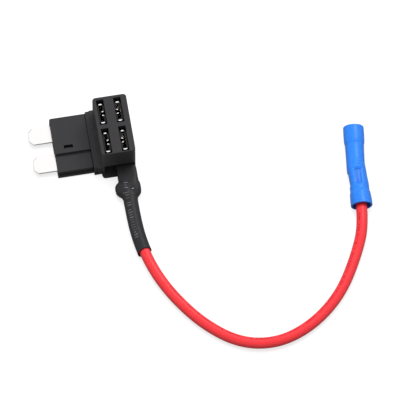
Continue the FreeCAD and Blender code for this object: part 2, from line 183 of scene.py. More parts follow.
wire = routeCurve("wire_jacket", wireRoute, wireFacts["diameter"] / 2)
wireLine = routeSamples(wireRoute)
wireRun = sum((b - a).length for a, b in zip(wireLine, wireLine[1:]))
print("wire laid, length", round(wireRun, 4))


# mesh helpers
def meshObject(name, verts, faces, sharpAngle=None):
    mesh = bpy.data.meshes.new(name)
    mesh.from_pydata(verts, [], faces)
    mesh.shade_smooth()
    if sharpAngle is not None:
        mesh.set_sharp_from_angle(angle=math.radians(sharpAngle))
    return addObject(name, mesh)


def joinRings(rings, closed):
    # quads between neighbouring rings; "closed" joins the last ring to the first
    verts = [point for ring in rings for point in ring]
    count = len(rings[0])
    faces = []
    for i in range(len(rings) if closed else len(rings) - 1):
        near = i * count
        far = (i + 1) % len(rings) * count
        for j in range(count):
            k = (j + 1) % count
            faces.append((near + j, near + k, far + k, far + j))
    return verts, faces


def smoothThrough(places, values, place):
    # a curve through given values with no overshoot
    if place <= places[0]:
        return values[0]
    if place >= places[-1]:
        return values[-1]
    i = 0
    while places[i + 1] < place:
        i += 1
    slopes = []
    for k in range(len(places) - 1):
        slopes.append((values[k + 1] - values[k]) / (places[k + 1] - places[k]))

    def lean(k):
        if k == 0 or k == len(places) - 1:
            return 0.0
        a, b = slopes[k - 1], slopes[k]
        return 0.0 if a * b <= 0 else 2 * a * b / (a + b)

    wide = places[i + 1] - places[i]
    t = (place - places[i]) / wide
    first = (1 + 2 * t) * (1 - t) ** 2 * values[i] + t * (1 - t) ** 2 * wide * lean(i)
    return first + t * t * (3 - 2 * t) * values[i + 1] + t * t * (t - 1) * wide * lean(i + 1)


def window(value, low, high, soft):
    # 1 between low and high, fading over "soft" on both sides
    rise = min(max((value - low) / soft + 0.5, 0.0), 1.0)
    fall = min(max((high - value) / soft + 0.5, 0.0), 1.0)
    return rise * rise * (3 - 2 * rise) * fall * fall * (3 - 2 * fall)


# heat-shrink sleeve: flat over the tab, a lump over the grip, then round along the wire
sleeveFacts = {
    # y, left, right, low, high, squareness of the outer section, in millimetres
    "stations": [
        (-8.30, 4.06, 9.32, 0.86, 4.93, 8.0),
        (-9.85, 4.06, 9.32, 0.86, 4.93, 8.0),
        (-10.40, 4.06, 9.78, 0.86, 4.94, 8.0),
        (-12.60, 4.00, 9.86, 0.80, 4.92, 7.0),
        (-14.20, 4.00, 9.87, 0.60, 4.88, 5.5),
        (-14.75, 3.66, 9.92, 0.35, 4.88, 4.5),
        (-15.25, 3.00, 10.16, 0.12, 4.92, 3.8),
        (-15.95, 2.66, 10.27, 0.07, 4.94, 3.3),
        (-17.20, 2.74, 10.26, 0.07, 4.93, 3.0),
        (-18.10, 3.16, 10.10, 0.16, 4.88, 2.6),
        (-18.90, 3.92, 9.60, 0.45, 4.76, 2.2),
        (-19.70, 4.42, 8.92, 0.42, 4.62, 2.0),
        (-20.60, 4.50, 8.80, 0.40, 4.60, 2.0),
    ],
    "roundFrom": 5.6,  # from here the section is round and follows the wire
    "endRun": 22.2,
    "roundRadius": 2.14,
    "roundSquareness": 2.0,
    "offCentre": 0.18,  # share of the gap around the wire by which the round part sits aside
    "lip": (0.5, 0.4, 0.03),  # length, softness and rise of the rim at the cut end
    "cutLean": (1.2, 2.4, 0.45, 0.2),  # length, softness, lean and balance of the slanted cut
    "wall": 0.35,
    "ringStep": 0.2,
    "around": 96,
    "sharpAngle": 50,
    "dimple": (7.6, -17.9, 0.42, 0.9),  # x, y, depth, radius
    "dimpleStretch": 1.3,  # longer along the wire
    "wrinkle": 0.035,
    "wrinkleScale": (0.9, 0.35, 0.9),
    "fineScale": (1.7, 1.1, 1.7),
    "fineShare": 0.5,
    "fineShift": 9,
}


def wrinkleAt(point, facts):
    # slow creases with finer ones on them, always inwards
    slow = [a * b for a, b in zip(point, facts["wrinkleScale"])]
    fine = [a * b for a, b in zip(point, facts["fineScale"])]
    fine[2] += facts["fineShift"]
    crumple = noise.noise(Vector(slow)) + facts["fineShare"] * noise.noise(Vector(fine))
    return abs(crumple) * facts["wrinkle"]


def sleeveRing(centre, across, upward, halves, squareness, facts):
    left, right, low, high = halves
    ring = []
    for j in range(facts["around"]):
        angle = 2 * math.pi * j / facts["around"]
        cx = math.copysign(abs(math.cos(angle)) ** (2 / squareness), math.cos(angle))
        cz = math.copysign(abs(math.sin(angle)) ** (2 / squareness), math.sin(angle))
        px = cx * (right if cx > 0 else left)
        pz = cz * (high if cz > 0 else low)
        outward = across * px + upward * pz
        point = centre + outward
        point -= outward.normalized() * wrinkleAt(point, facts)
        x, y, depth, radius = facts["dimple"]
        if point.z > centre.z:
            along = (point.y - y) / facts["dimpleStretch"]
            point.z -= depth * math.exp(-((point.x - x) ** 2 + along ** 2) / radius ** 2)
        ring.append(point * mm)
    return ring


def makeSleeve(facts):
    columns = list(zip(*facts["stations"]))
    places = [-y for y in columns[0]]
    rings = []
    steps = round((places[-1] - places[0]) / facts["ringStep"])
    for i in range(steps):
        place = places[0] + i * facts["ringStep"]
        section = [smoothThrough(places, column, place) for column in columns[1:]]
        left, right, low, high, square = section
        middle = Vector(((left + right) / 2, -place, (low + high) / 2))
        halfX = (right - left) / 2
        halfZ = (high - low) / 2
        halves = (halfX, halfX, halfZ, halfZ)
        rings.append(sleeveRing(middle, Vector((1, 0, 0)), up, halves, square, facts))
    radius = facts["roundRadius"]
    lipLength, lipSoft, lipRise = facts["lip"]
    leanLength, leanSoft, cutLean, balance = facts["cutLean"]
    end = facts["endRun"]
    steps = round((end - facts["roundFrom"]) / facts["ringStep"])
    for i in range(steps + 1):
        run = facts["roundFrom"] + (end - facts["roundFrom"]) * i / steps
        spot, way = placeOnLine(wireLine, run * mm)
        across = -way.cross(up).normalized()
        lip = window(run, end - lipLength, math.inf, lipSoft)
        halves = (radius + lipRise * lip,) * 4
        gap = radius - wireFacts["diameter"] / 2 / mm
        centre = spot / mm - across * gap * facts["offCentre"]
        upward = across.cross(-way)
        ring = sleeveRing(centre, across, upward, halves, facts["roundSquareness"], facts)
        lean = cutLean * window(run, end - leanLength, math.inf, leanSoft)
        back = way * lean * mm
        rings.append([point - back * ((point.z / mm - centre.z) / radius + balance) for point in ring])
    verts, faces = joinRings(rings, False)
    obj = meshObject("shrink_sleeve", verts, faces)
    wall = obj.modifiers.new("wall", "SOLIDIFY")
    wall.thickness = facts["wall"] * mm
    wall.offset = -1
    mesh = plainMesh(obj)
    obj.modifiers.clear()
    obj.data = mesh
    mesh.set_sharp_from_angle(angle=math.radians(facts["sharpAngle"]))
    return obj


sleeve = makeSleeve(sleeveFacts)
print("sleeve shrunk on,", len(sleeve.data.polygons), "faces")

# butt connector: nylon sleeve with flared mouths, crimped on the wire's side
nylonFacts = {
    # run from the wire's mouth and radius, in millimetres
    "outer": [(0.45, 3.20), (1.5, 3.20), (4.2, 3.06), (4.45, 3.03), (4.8, 2.84), (6.4, 2.76),
              (9.0, 2.72), (13.0, 2.72), (17.0, 2.75), (19.2, 2.78), (19.8, 2.81), (20.5, 2.97),
              (21.5, 3.04), (24.0, 3.07), (25.56, 3.05)],
    "inner": [(0.45, 2.66), (2.4, 2.45), (4.4, 2.13), (21.2, 2.13), (23.2, 2.40), (25.56, 2.56)],
    "start": 0.45,
    "rim": 0.10,
    "rimRound": 0.3,
    "step": 0.18,
    "innerStep": 0.36,
    "around": 80,
    "sharpAngle": 60,
}
# the crimp's bite and what it pushes about; spans are run from, run to and softness, in
# millimetres, and angles are 0 on top and grow towards +X
crimpFacts = {
    "jaw": (6.7, 11.6, 0.9),
    "jawDepth": 0.46,
    "jawSlant": 0.09,
    "jawHalfWidth": 1.05,
    "jawSideSoft": 0.9,
    "dentShadeSpan": (6.7, 11.6, 0.6),  # span of the painted shade on the crimp's dent
    "dentShadeSideSoft": 0.5,
    "pressedSide": {"span": (6.7, 11.1, 0.35), "angle": -math.pi / 2, "spread": 0.55, "depth": 0.26},
    "pushedSide": {"span": (5.7, 12.8, 3.2), "angle": math.pi / 2, "spread": 0.6, "depth": -0.26},
    "arcs": {"span": (12.1, 14.9, 1.0), "angle": 0.15, "spread": 0.4, "depth": 0.09},
    "arcBend": 0.3,
    "arcMiddle": 0.5,
    "stripes": {"span": (4.5, 6.9, 0.8), "angle": 0.7, "spread": 0.5, "depth": 0.09},
    "stripeSlant": 0.7,
    "markPitch": 0.95,  # of the arcs and the stripes, which are stretch marks
}


def skinPatch(run, angle, patch):
    # a soft patch of the sleeve's skin, with its full depth in the middle
    low, high, soft = patch["span"]
    around = math.exp(-((angle - patch["angle"]) / patch["spread"]) ** 2)
    return window(run, low, high, soft) * around * patch["depth"]


def acrossJaw(run, angle, radius, facts):
    # the place across the jaw, which stood a little askew
    return radius * math.sin(angle) - (run - facts["jaw"][0]) * facts["jawSlant"]


def crimpDent(run, angle, radius, facts):
    # inward depth in millimetres
    across = acrossJaw(run, angle, radius, facts)
    half = facts["jawHalfWidth"]
    bite = window(run, *facts["jaw"]) * window(across, -half, half, facts["jawSideSoft"])
    depth = bite * facts["jawDepth"] * abs(math.cos(angle))
    depth += skinPatch(run, angle, facts["pressedSide"])
    depth += skinPatch(run, angle, facts["pushedSide"])
    turns = 2 * math.pi / facts["markPitch"]
    arc = run - facts["arcBend"] * (across - facts["arcMiddle"]) ** 2
    depth += skinPatch(run, angle, facts["arcs"]) * math.sin(turns * arc)
    stripe = run + facts["stripeSlant"] * across
    depth += skinPatch(run, angle, facts["stripes"]) * math.sin(turns * stripe)
    return depth


def crimpDentShade(run, angle, radius, facts):
    # 1 on the crimp's dent, where painted shade darkens the nylon
    across = acrossJaw(run, angle, radius, facts)
    half = facts["jawHalfWidth"]
    top = math.cos(angle) > 0
    return window(run, *facts["dentShadeSpan"]) * window(across, -half, half, facts["dentShadeSideSoft"]) * top


def connectorRing(run, radius, around, dentFacts=None):
    here = connectorAxis(run * mm)
    probe = connectorFacts["probe"]
    way = (connectorAxis((run + probe) * mm) - connectorAxis((run - probe) * mm)).normalized()
    across = way.cross(up).normalized()
    upward = across.cross(way)
    ring = []
    for j in range(around):
        angle = 2 * math.pi * j / around
        if angle > math.pi:
            angle -= 2 * math.pi
        depth = crimpDent(run, angle, radius, dentFacts) if dentFacts else 0.0
        reach = (radius - depth) * mm
        ring.append(here + across * (math.sin(angle) * reach) + upward * (math.cos(angle) * reach))
    return ring


def evenRuns(first, last, step):
    count = max(1, round(abs(last - first) / step))
    return [first + (last - first) * i / count for i in range(count + 1)]


def makeNylon(facts, crimp):
    length = connectorLength / mm
    outerRuns, outerRadii = zip(*facts["outer"])
    innerRuns, innerRadii = zip(*facts["inner"])
    rim = facts["rim"]
    rounded = rim * facts["rimRound"]
    loop = []
    for run in evenRuns(facts["start"] + rim, length - rim, facts["step"]):
        loop.append((run, smoothThrough(outerRuns, outerRadii, run), True))
    for end, towards in ((length, -1), (facts["start"], 1)):
        outside = smoothThrough(outerRuns, outerRadii, end)
        inside = smoothThrough(innerRuns, innerRadii, end)
        corner = [(end + towards * rounded, outside - rounded), (end, outside - rim),
                  (end, inside + rim), (end + towards * rounded, inside + rounded)]
        if towards > 0:
            corner.reverse()
        loop += [(run, radius, False) for run, radius in corner]
        if towards < 0:
            for run in evenRuns(length - rim, facts["start"] + rim, facts["innerStep"]):
                loop.append((run, smoothThrough(innerRuns, innerRadii, run), False))
    around = facts["around"]
    rings = []
    values = []
    for run, radius, dented in loop:
        rings.append(connectorRing(run, radius, around, crimp if dented else None))
        for j in range(around):
            angle = 2 * math.pi * j / around
            values.append(crimpDentShade(run, angle, radius, crimp) if dented else 0.0)
    verts, faces = joinRings(rings, True)
    obj = meshObject("connector_sleeve", verts, faces, facts["sharpAngle"])
    # per-point share of painted shade on the crimp's dent
    dentShade = obj.data.attributes.new("dentShade", "FLOAT", "POINT")
    dentShade.data.foreach_set("value", values)
    return obj


barrelFacts = {
    # run from the wire's mouth and radius: outside, then the free end's bore
    "loop": [(5.0, 1.80), (5.05, 1.85), (12.3, 1.85), (12.8, 2.10), (20.12, 2.10), (20.2, 2.02),
             (20.2, 1.33), (20.12, 1.25), (13.6, 1.25), (13.2, 0.5), (12.8, 0.5), (12.4, 0.95),
             (5.0, 0.95)],
    "step": 0.8,
    "around": 48,
    "sharpAngle": 40,
}


def makeBarrel(facts):
    corners = facts["loop"]
    loop = []
    for (runA, radiusA), (runB, radiusB) in zip(corners, corners[1:] + corners[:1]):
        count = max(1, round(abs(runB - runA) / facts["step"]))
        for i in range(count):
            share = i / count
            loop.append((runA + (runB - runA) * share, radiusA + (radiusB - radiusA) * share))
    rings = [connectorRing(run, radius, facts["around"]) for run, radius in loop]
    verts, faces = joinRings(rings, True)
    return meshObject("connector_barrel", verts, faces, facts["sharpAngle"])


nylonSleeve = makeNylon(nylonFacts, crimpFacts)
barrel = makeBarrel(barrelFacts)
print("connector made,", len(nylonSleeve.data.polygons), "faces")


# shader helpers
noiseMiddle = 0.5  # mean of a noise texture
rollingSpread = 0.16  # how far the rolling lines change a metal's roughness


def newMaterial(name):
    mat = bpy.data.materials.new(name)
    mat.use_nodes = True
    mat.node_tree.nodes.clear()
    return mat


def addNode(tree, kind, place=(0, 0), inputs=None, **settings):
    node = tree.nodes.new(kind)
    node.location = place
    for key, value in settings.items():
        setattr(node, key, value)
    for key, value in (inputs or {}).items():
        node.inputs[key].default_value = value
    return node


def startGroup(name, inputs, outputs):
    tree = bpy.data.node_groups.new(name, "ShaderNodeTree")
    for label, kind, value in inputs:
        socket = tree.interface.new_socket(name=label, in_out="INPUT", socket_type=kind)
        if value is not None:
            socket.default_value = value
    for label, kind in outputs:
        tree.interface.new_socket(name=label, in_out="OUTPUT", socket_type=kind)
    return tree, addNode(tree, "NodeGroupInput", (-1000, 0)), addNode(tree, "NodeGroupOutput", (900, 0))


def placeGroup(tree, group, place, values):
    node = addNode(tree, "ShaderNodeGroup", place, node_tree=group)
    for key, value in values.items():
        node.inputs[key].default_value = value
    return node


def mixColours(tree, place, first, second):
    node = addNode(tree, "ShaderNodeMix", place, data_type="RGBA")
    node.inputs["A"].default_value = (*first, 1)
    node.inputs["B"].default_value = (*second, 1)
    return node


def softEdgeGroup():
    # rounds edges in the shading and gives a mask that is 1 along them, broken by noise
    tree, given, result = startGroup(
        "softEdge",
        [("Radius", "NodeSocketFloat", 0.0002), ("Break Scale", "NodeSocketFloat", 900.0),
         ("Strength", "NodeSocketFloat", 1.0)],
        [("Normal", "NodeSocketVector"), ("Mask", "NodeSocketFloat")],
    )
    link = tree.links.new
    bevel = addNode(tree, "ShaderNodeBevel", (-700, 200), samples=6)
    shape = addNode(tree, "ShaderNodeNewGeometry", (-700, 0))
    dot = addNode(tree, "ShaderNodeVectorMath", (-450, 100), operation="DOT_PRODUCT")
    ramp = addNode(tree, "ShaderNodeMapRange", (-200, 100),
                   {"From Min": 0.999, "From Max": 0.86, "To Min": 0.0, "To Max": 1.0})
    coords = addNode(tree, "ShaderNodeTexCoord", (-900, -250))
    specks = addNode(tree, "ShaderNodeTexNoise", (-600, -250))
    lift = addNode(tree, "ShaderNodeMapRange", (-300, -250),
                   {"From Min": 0.35, "From Max": 0.65, "To Min": 0.25})
    both = addNode(tree, "ShaderNodeMath", (100, 0), operation="MULTIPLY")
    scaled = addNode(tree, "ShaderNodeMath", (350, 0), operation="MULTIPLY", use_clamp=True)
    link(given.outputs["Radius"], bevel.inputs["Radius"])
    link(bevel.outputs["Normal"], dot.inputs[0])
    link(shape.outputs["Normal"], dot.inputs[1])
    link(dot.outputs["Value"], ramp.inputs["Value"])
    link(coords.outputs["Object"], specks.inputs["Vector"])
    link(given.outputs["Break Scale"], specks.inputs["Scale"])
    link(specks.outputs["Fac"], lift.inputs["Value"])
    link(ramp.outputs["Result"], both.inputs[0])
    link(lift.outputs["Result"], both.inputs[1])
    link(both.outputs[0], scaled.inputs[0])
    link(given.outputs["Strength"], scaled.inputs[1])
    link(scaled.outputs[0], result.inputs["Mask"])
    link(bevel.outputs["Normal"], result.inputs["Normal"])
    return tree


def mouldGrainGroup():
    # fine texture of a moulded face, and slow cloudiness of its gloss
    tree, given, result = startGroup(
        "mouldGrain",
        [("Grain Scale", "NodeSocketFloat", 4000.0), ("Grain Height", "NodeSocketFloat", 0.3),
         ("Base Roughness", "NodeSocketFloat", 0.45), ("Roughness Spread", "NodeSocketFloat", 0.1),
         ("Normal", "NodeSocketVector", None)],
        [("Normal", "NodeSocketVector"), ("Roughness", "NodeSocketFloat"), ("Cloud", "NodeSocketFloat")],
    )
    link = tree.links.new
    coords = addNode(tree, "ShaderNodeTexCoord", (-900, -250))
    grain = addNode(tree, "ShaderNodeTexNoise", (-600, 100), {"Detail": 3.0})
    cloud = addNode(tree, "ShaderNodeTexNoise", (-600, -200), {"Scale": 260.0, "Detail": 2.0})
    bump = addNode(tree, "ShaderNodeBump", (300, 100), {"Distance": 0.00004})
    centre = addNode(tree, "ShaderNodeMath", (-250, -200), {1: noiseMiddle}, operation="SUBTRACT")
    scaled = addNode(tree, "ShaderNodeMath", (0, -200), operation="MULTIPLY")
    total = addNode(tree, "ShaderNodeMath", (300, -200), operation="ADD")
    link(coords.outputs["Object"], grain.inputs["Vector"])
    link(coords.outputs["Object"], cloud.inputs["Vector"])
    link(given.outputs["Grain Scale"], grain.inputs["Scale"])
    link(grain.outputs["Fac"], bump.inputs["Height"])
    link(given.outputs["Grain Height"], bump.inputs["Strength"])
    link(given.outputs["Normal"], bump.inputs["Normal"])
    link(cloud.outputs["Fac"], centre.inputs[0])
    link(centre.outputs[0], scaled.inputs[0])
    link(given.outputs["Roughness Spread"], scaled.inputs[1])
    link(scaled.outputs[0], total.inputs[0])
    link(given.outputs["Base Roughness"], total.inputs[1])
    link(bump.outputs["Normal"], result.inputs["Normal"])
    link(total.outputs[0], result.inputs["Roughness"])
    link(cloud.outputs["Fac"], result.inputs["Cloud"])
    return tree


def rolledSheetGroup():
    # faint rolling lines and dull patches of plated strip
    tree, given, result = startGroup(
        "rolledSheet",
        [("Line Stretch", "NodeSocketVector", (1.0, 12.0, 12.0)), ("Line Scale", "NodeSocketFloat", 900.0),
         ("Base Roughness", "NodeSocketFloat", 0.25)],
        [("Normal", "NodeSocketVector"), ("Roughness", "NodeSocketFloat"), ("Patches", "NodeSocketFloat")],
    )
    link = tree.links.new
    coords = addNode(tree, "ShaderNodeTexCoord", (-900, 0))
    stretch = addNode(tree, "ShaderNodeVectorMath", (-700, -150), operation="MULTIPLY")
    lines = addNode(tree, "ShaderNodeTexNoise", (-450, -150), {"Detail": 4.0})
    patches = addNode(tree, "ShaderNodeTexNoise", (-450, 200), {"Scale": 350.0})
    centre = addNode(tree, "ShaderNodeMath", (-200, -50), {1: noiseMiddle}, operation="SUBTRACT")
    rough = addNode(tree, "ShaderNodeMath", (50, -50), {1: rollingSpread}, operation="MULTIPLY")
    total = addNode(tree, "ShaderNodeMath", (300, -50), operation="ADD")
    bump = addNode(tree, "ShaderNodeBump", (300, -250), {"Strength": 0.2, "Distance": 0.00001})
    link(coords.outputs["Object"], stretch.inputs[0])
    link(given.outputs["Line Stretch"], stretch.inputs[1])
    link(stretch.outputs["Vector"], lines.inputs["Vector"])
    link(given.outputs["Line Scale"], lines.inputs["Scale"])
    link(coords.outputs["Object"], patches.inputs["Vector"])
    link(lines.outputs["Fac"], centre.inputs[0])
    link(centre.outputs[0], rough.inputs[0])
    link(rough.outputs[0], total.inputs[0])
    link(given.outputs["Base Roughness"], total.inputs[1])
    link(lines.outputs["Fac"], bump.inputs["Height"])
    link(bump.outputs["Normal"], result.inputs["Normal"])
    link(total.outputs[0], result.inputs["Roughness"])
    link(patches.outputs["Fac"], result.inputs["Patches"])
    return tree


softEdge = softEdgeGroup()
mouldGrain = mouldGrainGroup()
rolledSheet = rolledSheetGroup()


def plasticMaterial(name, look):
    # moulded plastic: slow colour drift, fine grain, and soft edges painted paler, partly edge wear and
    # partly painted highlight
    mat = newMaterial(name)
    tree = mat.node_tree
    link = tree.links.new
    shader = addNode(tree, "ShaderNodeBsdfPrincipled", (500, 0))
    output = addNode(tree, "ShaderNodeOutputMaterial", (800, 0))
    edge = placeGroup(tree, softEdge, (-500, 250), {
        "Radius": look["edge"], "Break Scale": 900.0, "Strength": look["wearAndHighlightStrength"]})
    grain = placeGroup(tree, mouldGrain, (-200, -250), {
        "Grain Scale": look["grainScale"], "Grain Height": look["grainHeight"],
        "Base Roughness": look["roughness"], "Roughness Spread": look["spread"]})
    base = mixColours(tree, (0, 0), look["colour"], look["drift"])
    # paler along the edges: edge wear, and painted highlight on the edge lines
    wearAndHighlight = mixColours(tree, (250, 100), look["colour"], look["wearAndHighlight"])
    finish = wearAndHighlight
    link(edge.outputs["Normal"], grain.inputs["Normal"])
    link(grain.outputs["Cloud"], base.inputs["Factor"])
    link(base.outputs["Result"], wearAndHighlight.inputs["A"])
    link(edge.outputs["Mask"], wearAndHighlight.inputs["Factor"])
    # painted shade: darker colour where the per-point attribute marks the crimp's dent
    if "dentShade" in look:
        dentShade = addNode(tree, "ShaderNodeAttribute", (0, 350), attribute_name="dentShade")
        finish = mixColours(tree, (400, 300), look["colour"], look["dentShade"])
        link(wearAndHighlight.outputs["Result"], finish.inputs["A"])
        link(dentShade.outputs["Fac"], finish.inputs["Factor"])
    # painted shade: a dark line across the housing at one X, in the groove between plug and collar
    if "gapShadeAt" in look:
        coords = addNode(tree, "ShaderNodeTexCoord", (-500, 600))
        split = addNode(tree, "ShaderNodeSeparateXYZ", (-300, 600))
        gapShade = addNode(tree, "ShaderNodeMath", (-100, 600), {1: look["gapShadeAt"], 2: look["gapShadeReach"]},
                       operation="COMPARE")
        finish = mixColours(tree, (400, 300), look["colour"], look["gapShade"])
        link(coords.outputs["Object"], split.inputs[0])
        link(split.outputs["X"], gapShade.inputs[0])
        link(wearAndHighlight.outputs["Result"], finish.inputs["A"])
        link(gapShade.outputs[0], finish.inputs["Factor"])
    link(finish.outputs["Result"], shader.inputs["Base Color"])
    link(grain.outputs["Normal"], shader.inputs["Normal"])
    link(grain.outputs["Roughness"], shader.inputs["Roughness"])
    shader.inputs["Specular IOR Level"].default_value = look["specular"]
    shader.inputs["Coat Weight"].default_value = look.get("coat", 0.0)
    shader.inputs["Coat Roughness"].default_value = look.get("coatRoughness", 0.1)
    shader.inputs["Subsurface Weight"].default_value = look.get("subsurface", 0.0)
    shader.inputs["Subsurface Scale"].default_value = 0.001
    link(shader.outputs["BSDF"], output.inputs["Surface"])
    return mat


def metalMaterial(name, look):
    mat = newMaterial(name)
    tree = mat.node_tree
    link = tree.links.new
    shader = addNode(tree, "ShaderNodeBsdfPrincipled", (700, 0))
    output = addNode(tree, "ShaderNodeOutputMaterial", (1000, 0))
    sheet = placeGroup(tree, rolledSheet, (-300, -100), {
        "Line Stretch": look["lines"], "Line Scale": look["lineScale"],
        "Base Roughness": look["roughness"]})
    patches = mixColours(tree, (0, 150), look["colour"], look["dull"])
    edge = placeGroup(tree, softEdge, (-300, 400), {
        "Radius": look["edge"], "Break Scale": 600.0, "Strength": 1.0})
    # darker along the edges: bare cut edges, and painted shade along the outline
    colours = mixColours(tree, (250, 250), look["colour"], look["outline"])
    link(sheet.outputs["Patches"], patches.inputs["Factor"])
    link(patches.outputs["Result"], colours.inputs["A"])
    link(edge.outputs["Mask"], colours.inputs["Factor"])
    link(sheet.outputs["Roughness"], shader.inputs["Roughness"])
    link(sheet.outputs["Normal"], shader.inputs["Normal"])
    link(colours.outputs["Result"], shader.inputs["Base Color"])
    shader.inputs["Metallic"].default_value = 1.0
    link(shader.outputs["BSDF"], output.inputs["Surface"])
    return mat, colours, shader


def cutEdgeShadeAndGlints(mat, colours, shader, look):
    # the receptacles' upward edges are painted near-black, partly bare sheared metal and partly painted
    # shade in the deep sockets, apart from painted glints left bright at their ends and tips
    tree = mat.node_tree
    link = tree.links.new
    coords = addNode(tree, "ShaderNodeTexCoord", (-900, 600))
    split = addNode(tree, "ShaderNodeSeparateXYZ", (-700, 600))
    shape = addNode(tree, "ShaderNodeNewGeometry", (-900, 850))
    facing = addNode(tree, "ShaderNodeSeparateXYZ", (-700, 850))
    upFace = addNode(tree, "ShaderNodeMath", (-500, 850), {1: look["upFrom"]}, operation="GREATER_THAN")
    high = addNode(tree, "ShaderNodeMath", (-500, 650), {1: look["topFrom"]}, operation="GREATER_THAN")
    top = addNode(tree, "ShaderNodeMath", (-300, 750), operation="MULTIPLY")
    link(coords.outputs["Object"], split.inputs[0])
    link(shape.outputs["Normal"], facing.inputs[0])
    link(facing.outputs["Z"], upFace.inputs[0])
    link(split.outputs["Z"], high.inputs[0])
    link(upFace.outputs[0], top.inputs[0])
    link(high.outputs[0], top.inputs[1])
    glintSpots = None
    centred = addNode(tree, "ShaderNodeMath", (-500, 250), {1: look["middle"]}, operation="SUBTRACT")
    apart = addNode(tree, "ShaderNodeMath", (-350, 250), operation="ABSOLUTE")
    link(split.outputs["X"], centred.inputs[0])
    link(centred.outputs[0], apart.inputs[0])
    # painted glints: spots at the sockets' ends and tips that keep the plated colour
    for place, column, halfWidth in look["paintedGlints"]:
        along = addNode(tree, "ShaderNodeMath", (-300, 400), {1: place, 2: look["glintReach"]},
                        operation="COMPARE")
        beside = addNode(tree, "ShaderNodeMath", (-300, 200), {1: column, 2: halfWidth},
                         operation="COMPARE")
        spot = addNode(tree, "ShaderNodeMath", (-150, 300), operation="MULTIPLY")
        link(split.outputs["Y"], along.inputs[0])
        link(apart.outputs[0], beside.inputs[0])
        link(along.outputs[0], spot.inputs[0])
        link(beside.outputs[0], spot.inputs[1])
        if glintSpots is None:
            glintSpots = spot
            continue
        both = addNode(tree, "ShaderNodeMath", (-50, 300), operation="MAXIMUM")
        link(glintSpots.outputs[0], both.inputs[0])
        link(spot.outputs[0], both.inputs[1])
        glintSpots = both
    dark = addNode(tree, "ShaderNodeMath", (100, 500), {0: 1.0},
                   operation="SUBTRACT", use_clamp=True)
    link(glintSpots.outputs[0], dark.inputs[1])
    mask = addNode(tree, "ShaderNodeMath", (300, 600), operation="MULTIPLY")
    link(top.outputs[0], mask.inputs[0])
    link(dark.outputs[0], mask.inputs[1])
    shaded = mixColours(tree, (450, 200), look["colour"], look["shearedAndShaded"])
    link(colours.outputs["Result"], shaded.inputs["A"])
    link(mask.outputs[0], shaded.inputs["Factor"])
    link(shaded.outputs["Result"], shader.inputs["Base Color"])


def inkMaterial(name, look):
    # printed marks: thin ink, slightly patchy
    mat = newMaterial(name)
    tree = mat.node_tree
    link = tree.links.new
    shader = addNode(tree, "ShaderNodeBsdfPrincipled", (300, 0))
    output = addNode(tree, "ShaderNodeOutputMaterial", (600, 0))
    coords = addNode(tree, "ShaderNodeTexCoord", (-600, 0))
    patchy = addNode(tree, "ShaderNodeTexNoise", (-400, 0), {"Scale": look["patchScale"], "Detail": 3.0})
    spread = addNode(tree, "ShaderNodeMapRange", (-200, 0), {"From Min": 0.35, "From Max": 0.65})
    colours = mixColours(tree, (50, 0), look["colour"], look["thin"])
    link(coords.outputs["Object"], patchy.inputs["Vector"])
    link(patchy.outputs["Fac"], spread.inputs["Value"])
    link(spread.outputs["Result"], colours.inputs["Factor"])
    link(colours.outputs["Result"], shader.inputs["Base Color"])
    shader.inputs["Roughness"].default_value = 0.5
    link(shader.outputs["BSDF"], output.inputs["Surface"])
    return mat


housingLook = {
    "colour": (0.0235, 0.0235, 0.0252),
    "drift": (0.0300, 0.0300, 0.0320),
    "wearAndHighlight": (0.08, 0.08, 0.083),
    "grainScale": 5000.0, "grainHeight": 0.35, "roughness": 0.50, "spread": 0.14,
    "wearAndHighlightStrength": 0.55, "edge": 0.00014, "specular": 0.24,
    "gapShadeAt": -0.00252, "gapShadeReach": 0.00012, "gapShade": (0.002, 0.002, 0.002),  # painted shade: a dark line at this X, in the groove where the plug meets the collar
}
coverLook = {
    "colour": (0.018, 0.018, 0.0195),
    "drift": (0.023, 0.023, 0.025),
    "wearAndHighlight": (0.06, 0.06, 0.063),
    "grainScale": 5000.0, "grainHeight": 0.35, "roughness": 0.5, "spread": 0.14,
    "wearAndHighlightStrength": 0.5, "edge": 0.00012, "specular": 0.24,
}
shrinkLook = {
    "colour": (0.0125, 0.0125, 0.0138),
    "drift": (0.0185, 0.0185, 0.0205),
    "wearAndHighlight": (0.04, 0.04, 0.043),
    "grainScale": 2600.0, "grainHeight": 0.5, "roughness": 0.42, "spread": 0.16,
    "wearAndHighlightStrength": 0.2, "edge": 0.0001, "specular": 0.26,
}
jacketLook = {
    "colour": (0.84, 0.020, 0.030),
    "drift": (0.92, 0.034, 0.044),
    "wearAndHighlight": (0.9, 0.08, 0.08),
    "grainScale": 900.0, "grainHeight": 0.05, "roughness": 0.38, "spread": 0.10,
    "wearAndHighlightStrength": 0.0, "edge": 0.0001, "specular": 0.45,
    "coat": 0.15, "coatRoughness": 0.3, "subsurface": 0.1,
}
nylonLook = {
    "colour": (0.014, 0.195, 0.82),
    "drift": (0.022, 0.240, 0.90),
    "wearAndHighlight": (0.07, 0.36, 0.92),
    # painted shade on the crimp's dent
    "dentShade": (0.010, 0.155, 0.68),
    "grainScale": 1800.0, "grainHeight": 0.18, "roughness": 0.38, "spread": 0.12,
    "wearAndHighlightStrength": 0.3, "edge": 0.0001, "specular": 0.4,
    "coat": 0.1, "coatRoughness": 0.2, "subsurface": 0.12,
}
